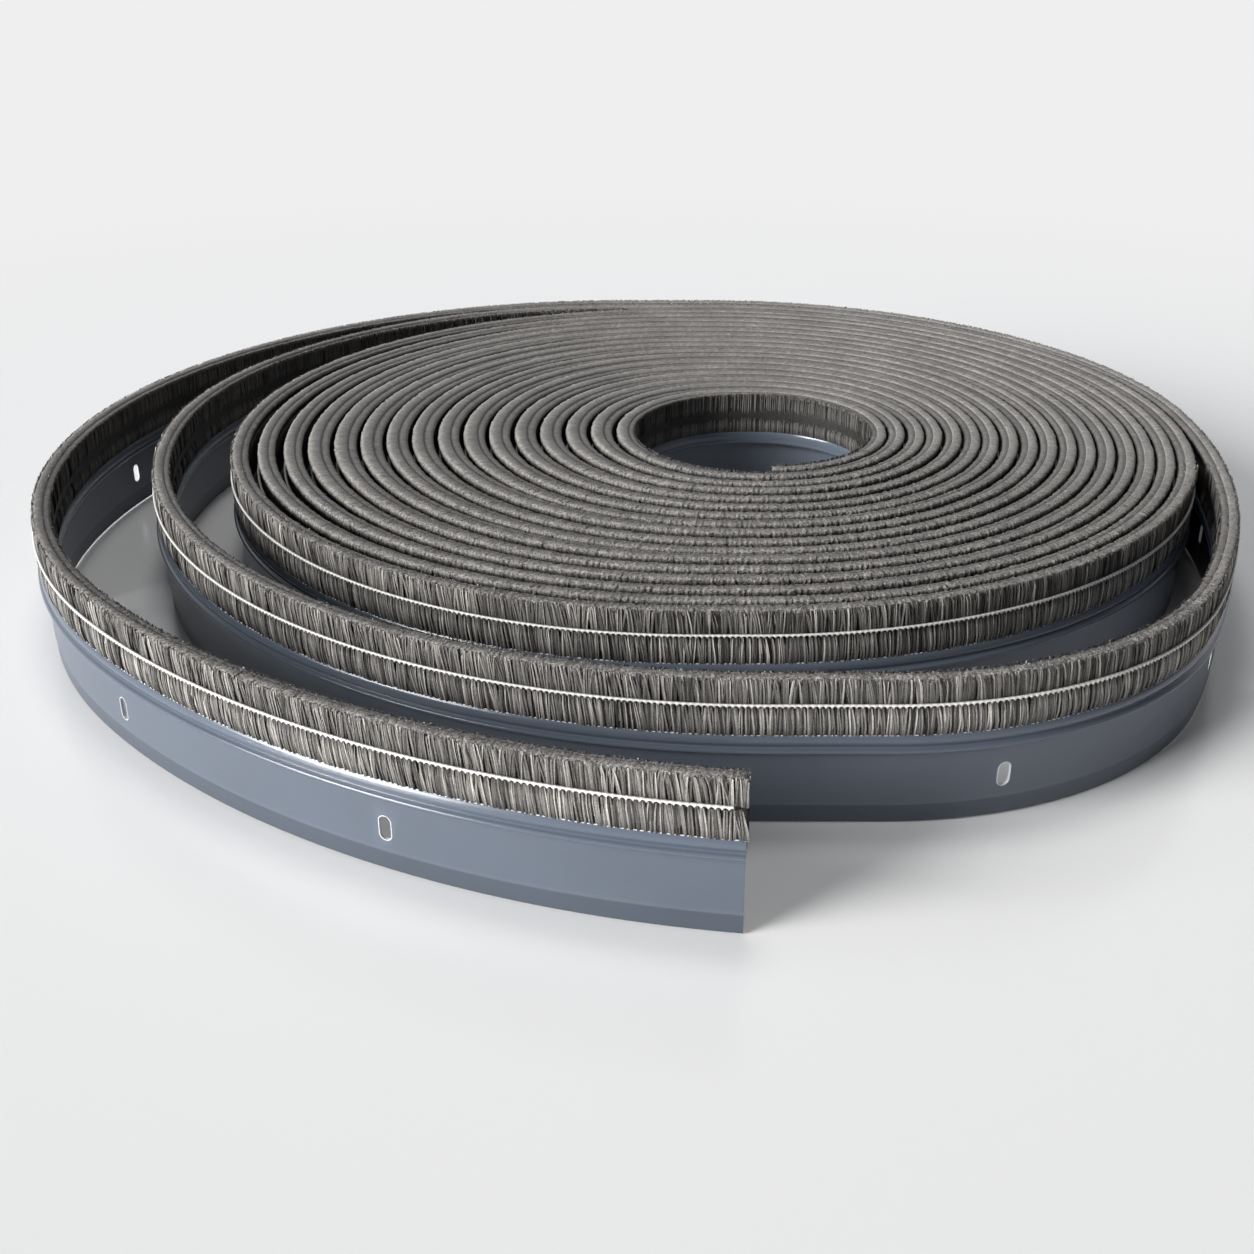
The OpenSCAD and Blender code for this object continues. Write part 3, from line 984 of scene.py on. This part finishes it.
    def blades(self, name: str, s: np.ndarray, rows: list[tuple[np.ndarray, np.ndarray, np.ndarray]],
               width: np.ndarray, painted_shading: list[float], side: Side,
               spread: float = 0.16) -> bpy.types.Object:
        """Builds many flat bristles as one mesh.

        Args:
            name: The object's name.
            s: Each bristle's place along the path.
            rows: From root to tip: shifts along the path, distances outwards, and heights.
            width: Each bristle's width in mm.
            painted_shading: How light each row is painted, from 0 to 1: painted light and shade.
            side: Which way the bristles face.
            spread: How much the bristles differ in tone.

        Returns:
            The object.
        """
        n, m = len(s), len(rows)
        yaw = self.rng.uniform(-0.5, 0.5, n)
        tone_of = np.clip(self.rng.normal(0.5, spread, n), 0.05, 0.95)
        verts = np.empty((n, m, 2, 3))
        tone_and_shading = np.ones((n, m, 2, 4))
        for k, (shift, out, z) in enumerate(rows):
            taper = 1.0 - 0.35 * k / (m - 1)
            for edge, sign in enumerate((-1, 1)):
                along = s + shift + sign * side.value * width / 2 * taper
                verts[:, k, edge] = self.path.points(along, out + sign * width / 2 * yaw, z)
                tone_and_shading[:, k, edge, 0] = tone_of
                # painted light and shade for the row
                tone_and_shading[:, k, edge, 1] = painted_shading[k]
                tone_and_shading[:, k, edge, 2] = 0.0
        ring = np.arange(n)[:, None] * m * 2 + np.arange(m - 1)[None, :] * 2
        quads = np.stack([ring, ring + 1, ring + 3, ring + 2], axis=-1).reshape(-1, 4)
        made = mesh_object(name, verts.reshape(-1, 3), quads, tone_and_shading=tone_and_shading.reshape(-1, 4))
        made.data.materials.append(self.material)
        only(made)
        bpy.ops.object.shade_smooth()
        settle(made, "bristle", "bristle_pile")
        return made

    def scatter(self, places: np.ndarray, spacing: float) -> np.ndarray:
        """Spreads bristles over the shown places.

        Args:
            places: Distances along the path, 1 mm apart.
            spacing: Mean distance from one bristle to the next, in mm.

        Returns:
            Jittered distances along the path, in order.
        """
        each = 1.0 / spacing
        total = int(len(places) * each)
        picked = places[np.minimum((np.arange(total) / each).astype(int), len(places) - 1)]
        return np.clip(picked + self.rng.uniform(0, 1, total), 0.3, self.path.length - 0.2)

    def clumped(self, s: np.ndarray, pitch: float, pull: float) -> tuple[np.ndarray, np.ndarray]:
        """Shifts and leans that draw bristles together in tufts.

        Args:
            s: Each bristle's place.
            pitch: Tuft spacing in mm.
            pull: How far the tips draw together, from 0 to 1.

        Returns:
            The shift of each tip towards its tuft's middle, and each tuft's own lean, in mm.
        """
        number = np.floor(s / pitch).astype(int)
        middle = (number + 0.5) * pitch
        lean = np.random.default_rng(SEED + 7).normal(0, 0.55, number.max() + 2)[number]
        return (middle - s) * pull, lean

    def outer_face(self) -> None:
        """Builds the bristles of the outer face: a lower band in front and an upper band behind."""
        places = self.shown(Side.OUTER)
        s = self.scatter(places, 0.2)
        depth = self.rng.uniform(0, 1, len(s))
        pull, lean = self.clumped(s, self.tuft, 0.4)
        drift = 0.6 + 0.5 * lean + self.rng.normal(0, 0.25, len(s))
        surface = self.half - 0.1 - 0.9 * depth
        arch = np.abs(np.sin(math.pi * s / self.tuft))
        reach = self.cord_z - 0.1 - 0.5 * arch - 0.3 * self.rng.uniform(0, 1, len(s))
        low = self.lip_z - 0.6
        rows = [(0.7 * pull + 0.5 * drift, surface - 0.75, np.full_like(s, low)),
                (0.2 * pull + 0.3 * drift, surface - 0.05, low + (reach - low) * 0.35),
                (-0.3 * drift, surface + 0.05, low + (reach - low) * 0.72),
                (0.7 * pull - 0.75 * drift, surface - 0.3, reach)]
        # painted shading: the lower band is painted dark at the root, light in the middle and darker
        # at the tips
        self.blades("bristles_outer_lower", s, rows, self.rng.uniform(0.4, 0.7, len(s)),
                    [0.42, 0.98, 1.22, 0.66], Side.OUTER)

        s = self.scatter(places, 0.2)
        depth = self.rng.uniform(0, 1, len(s))
        pull, lean = self.clumped(s + 0.9, 2.3, 0.3)
        drift = 0.6 + 0.7 * lean + self.rng.normal(0, 0.35, len(s))
        splay = self.splay(s, Side.OUTER)
        surface = self.upper_out + 0.15 - 0.8 * depth
        reach = self.top_z - 0.05 - 1.1 * self.rng.uniform(0, 1, len(s)) ** 2
        rows = [(0.7 * pull + 0.55 * drift, surface, np.full_like(s, self.cord_z + 0.2)),
                (0.2 * pull + 0.2 * drift, surface + 0.1 + 0.3 * splay, self.cord_z + 3.2 + 0 * s),
                (-0.3 * drift, surface + 0.15 + 0.7 * splay, self.cord_z + 6.6 + 0 * s),
                (-0.2 * pull - 0.8 * drift, surface - 0.25 + splay, reach)]
        # painted shading: the upper band is painted dark at the root and lighter towards the tips
        self.blades("bristles_outer_upper", s, rows, self.rng.uniform(0.38, 0.66, len(s)),
                    [0.4, 0.78, 0.92, 1.0], Side.OUTER)

    def tips(self) -> None:
        """Builds the separate tips that stick up through the crown where the strip stands clear."""
        places = self.shown(Side.OUTER)
        s = self.scatter(places, 0.17)
        across = self.rng.uniform(-self.half + 0.3, self.upper_out - 0.1, len(s))
        lean = self.rng.normal(0, 0.35, (2, len(s)))
        outer = across > -0.9
        reach = self.top_z + 0.05 - 0.7 * self.rng.uniform(0, 1, len(s)) - np.where(outer, 0, 0.7)
        rows = [(0 * s, across, reach - 1.1), (lean[0], across + lean[1], reach)]
        # painted shading: each tip is painted darker at its base than at its end
        self.blades("bristle_tips", s, rows, self.rng.uniform(0.35, 0.6, len(s)), [0.5, 1.05],
                    Side.OUTER)

    def inner_face(self) -> None:
        """Builds the long bristles of the inner face, where a gap shows it."""
        places = self.shown(Side.INNER)
        s = self.scatter(places, 0.4)
        depth = self.rng.uniform(0, 1, len(s))
        pull, lean = self.clumped(s, 2.6, 0.4)
        drift = 0.3 * lean + self.rng.normal(0, 0.25, len(s))
        splay = self.splay(s, Side.INNER)
        surface = -self.half + 0.1 + 0.5 * depth
        reach = self.top_z - 0.7 - 0.8 * self.rng.uniform(0, 1, len(s)) ** 2
        low = self.lip_z - 0.6
        rows = [(0.5 * pull, surface + 0.5, np.full_like(s, low)),
                (0.2 * pull + 0.1 * drift, surface - 0.2, low + 4.0 + 0 * s),
                (0.1 * drift, surface + 0.6, low + 8.2 + 0 * s),
                (0.2 * drift, surface - 0.1 - 0.5 * splay, low + 12.5 + 0 * s),
                (-0.3 * pull + 0.6 * drift, surface - splay, reach)]
        # painted light and shade up the inner face: a dark root, a lit bulge, a shaded recess, a lit
        # band and a darker top
        self.blades("bristles_inner_face", s, rows, self.rng.uniform(0.55, 0.85, len(s)),
                    [0.3, 0.62, 0.26, 0.5, 0.42], Side.INNER, spread=0.05)

    def build(self) -> None:
        """Builds the whole pile."""
        self.core()
        self.crowns()
        self.outer_face()
        self.tips()
        self.inner_face()


@dataclass
class BindingCord:
    """The thin white binding along the outer face, scalloped where each tuft bulges under it."""

    path: CoilPath
    finish: PolyesterCord = PolyesterCord()
    inner: float = 3.0
    outer: float = 3.85
    cord_z: float = 41.0
    cord_h: float = 0.7
    line_h: float = 0.42
    scallop: float = 0.8
    pitch: float = 1.8
    stop_short: float = 3.5
    fine_step: float = 0.45
    coarse_step: float = 9.0
    shown_gap: float = 3.4

    def build(self) -> bpy.types.Object:
        """Sweeps the binding, finely where it shows.

        Returns:
            The binding.
        """
        stop = self.path.length - self.stop_short
        fine = np.arange(0, stop, self.fine_step)
        gap = self.path.value(self.path.gap_out, fine)
        every = int(self.coarse_step / self.fine_step)
        keep = (gap > self.shown_gap) | (np.arange(len(fine)) % every == 0)
        s = np.append(fine[keep], stop)
        dip = self.scallop * (1 - np.abs(np.sin(s * math.pi / self.pitch)) ** 0.7)
        dip = np.where(self.path.value(self.path.gap_out, s) > self.shown_gap, dip, 0)
        high = np.full_like(s, self.cord_z + self.cord_h)
        low = high - self.line_h - dip
        columns = [(self.inner, low), (self.outer, low), (self.outer + 0.03, high - 0.15),
                   (self.outer - 0.15, high), (self.inner, high)]
        across = np.tile(np.array([c[0] for c in columns]), (len(s), 1))
        up = np.stack([c[1] for c in columns], axis=1)
        verts = self.path.points(s[:, None], across, up)
        n, m = up.shape
        uv = np.stack([np.broadcast_to(s[:, None], up.shape), up], axis=-1) * MM
        caps = [list(range(m))[::-1], [(n - 1) * m + k for k in range(m)]]
        cord = mesh_object("binding_tape", verts.reshape(-1, 3), loop_quads(n, m, True),
                           uv.reshape(-1, 2), caps=caps)
        cord.data.materials.append(self.finish.material())
        face_outwards(cord)
        settle(cord, "cord", "binding_cord")
        return cord


@dataclass
class Studio:
    """A glossy pale floor, a soft pale room, the lamps and the photograph's viewpoint."""

    bore: tuple[float, float] = (48.325, 29.6166)
    bore_in_view: tuple[float, float] = (53.4, 606.9)
    eye_height: float = 256.7
    pitch: float = 26.366
    focal_px: float = 1500.0
    picture_px: float = 1254.0
    sensor_mm: float = 36.0
    floor_size: float = 12.0
    floor_colour: str = "e7e7e7"
    backdrop_colour: str = "efefef"
    lit_radius: float = 0.34
    blend_radius: float = 0.9
    room: float = 0.17
    wall_in_gloss: float = 0.8

    def camera(self) -> None:
        """Places the camera where the photograph was taken from."""
        x = (self.bore[0] - self.bore_in_view[0]) * MM
        y = (self.bore[1] - self.bore_in_view[1]) * MM
        bpy.ops.object.select_all(action="DESELECT")
        bpy.ops.object.camera_add(location=(x, y, self.eye_height * MM),
                                  rotation=(math.radians(90 - self.pitch), 0.0, 0.0))
        camera = bpy.context.view_layer.objects.active
        camera.data.sensor_width = self.sensor_mm
        camera.data.lens = self.sensor_mm * self.focal_px / self.picture_px
        camera.data.clip_start = 0.01
        bpy.context.scene.camera = camera

    def floor(self) -> None:
        """Lays the floor: pale and glossy, white to the camera, with the object's shadow."""
        bpy.ops.object.select_all(action="DESELECT")
        bpy.ops.mesh.primitive_plane_add(size=self.floor_size, location=(0, 0, -0.0004))
        floor = bpy.context.view_layer.objects.active
        floor.name = "studio_floor"
        bpy.ops.object.transform_apply(location=True, rotation=True, scale=True)
        material, tree, shader = new_material("glossy_white_floor")
        shader.inputs["Base Color"].default_value = hex_to_linear(self.floor_colour)
        shader.inputs["Roughness"].default_value = 0.2
        shader.inputs["IOR"].default_value = 1.45
        # far from the coil the floor runs into an even pale backdrop
        place = add_node(tree, "ShaderNodeTexCoord")
        reach = add_node(tree, "ShaderNodeVectorMath", {"operation": "LENGTH"},
                         {0: place.outputs["Object"]})
        far = add_node(tree, "ShaderNodeMapRange",
                       {"interpolation_type": "SMOOTHSTEP", "From Min": self.lit_radius,
                        "From Max": self.blend_radius}, {"Value": reach.outputs["Value"]})
        backdrop = add_node(tree, "ShaderNodeEmission",
                            {"Color": hex_to_linear(self.backdrop_colour), "Strength": 1.0})
        whole = add_node(tree, "ShaderNodeMixShader",
                         links={0: far.outputs[0], 1: shader.outputs[0], 2: backdrop.outputs[0]})
        output = next(n for n in tree.nodes if n.type == "OUTPUT_MATERIAL")
        tree.links.new(whole.outputs[0], output.inputs["Surface"])
        floor.data.materials.append(material)

    def world(self) -> None:
        """Lights the room evenly and shows the camera a pale wall."""
        world = bpy.data.worlds.new("pale_room")
        bpy.context.scene.world = world
        world.use_nodes = True
        tree = world.node_tree
        tree.nodes.clear()
        ray = add_node(tree, "ShaderNodeLightPath")
        # the pale wall behind the coil shows in the glossy floor
        way = add_node(tree, "ShaderNodeTexCoord")
        split = add_node(tree, "ShaderNodeSeparateXYZ", links={0: way.outputs["Generated"]})
        behind = add_node(tree, "ShaderNodeMapRange",
                          {"From Min": 0.2, "From Max": 0.6, "To Max": self.wall_in_gloss},
                          {"Value": split.outputs["Y"]})
        mirrored = add_node(tree, "ShaderNodeMath", {"operation": "MULTIPLY_ADD", 2: self.room},
                            {0: ray.outputs["Is Glossy Ray"], 1: behind.outputs[0]})
        lit = add_node(tree, "ShaderNodeBackground", {"Color": hex_to_linear("f2f4f7")},
                       {"Strength": mirrored.outputs[0]})
        seen = add_node(tree, "ShaderNodeBackground",
                        {"Color": hex_to_linear(self.backdrop_colour), "Strength": 1.0})
        mixed = add_node(tree, "ShaderNodeMixShader",
                         links={0: ray.outputs["Is Camera Ray"], 1: lit.outputs[0],
                                2: seen.outputs[0]})
        add_node(tree, "ShaderNodeOutputWorld", links={0: mixed.outputs[0]})

    def lamp(self, name: str, place: tuple[float, float, float], size: float,
             power: float) -> None:
        """Adds one square soft box that faces the coil.

        Args:
            name: The lamp's name.
            place: Its position in metres.
            size: Its side in metres.
            power: Its power in watts.
        """
        bpy.ops.object.select_all(action="DESELECT")
        bpy.ops.object.light_add(type="AREA", location=place)
        lamp = bpy.context.view_layer.objects.active
        lamp.name = name
        lamp.data.size = size
        lamp.data.energy = power
        lamp.rotation_euler = (-Vector(place)).to_track_quat("-Z", "Y").to_euler()

    def sun(self, name: str, azimuth: float, elevation: float, angle: float,
            strength: float) -> None:
        """Adds one distant soft light.

        Args:
            name: The light's name.
            azimuth: Where it stands, in degrees counted from the right.
            elevation: Its height in degrees.
            angle: Its apparent width in degrees.
            strength: Its power per square metre.
        """
        turned, raised = math.radians(azimuth), math.radians(elevation)
        toward = Vector((math.cos(raised) * math.cos(turned), math.cos(raised) * math.sin(turned),
                         math.sin(raised)))
        bpy.ops.object.select_all(action="DESELECT")
        bpy.ops.object.light_add(type="SUN", location=toward * 3)
        lamp = bpy.context.view_layer.objects.active
        lamp.name = name
        lamp.data.energy = strength
        lamp.data.angle = math.radians(angle)
        lamp.rotation_euler = (-toward).to_track_quat("-Z", "Y").to_euler()

    def build(self) -> None:
        """Sets up the whole studio."""
        self.camera()
        self.floor()
        self.world()
        self.sun("soft_key_left", azimuth=205, elevation=23, angle=32, strength=4.5)
        self.sun("soft_low_left", azimuth=212, elevation=9, angle=24, strength=1.9)
        self.lamp("soft_box_top", (-0.1, 0.15, 1.5), 0.4, 5.5)
        bpy.context.scene.view_settings.view_transform = "Standard"


def main() -> None:
    """Builds the coil's pieces in order, then the studio."""
    logging.basicConfig(level=logging.INFO, format="%(name)s: %(message)s")
    Studio().build()
    path = CoilPath()
    LOG.info("strip length %.0f mm", path.length)
    Carrier(path).build()
    BristlePile(path).build()
    BindingCord(path).build()


if __name__ == "__main__":
    main()
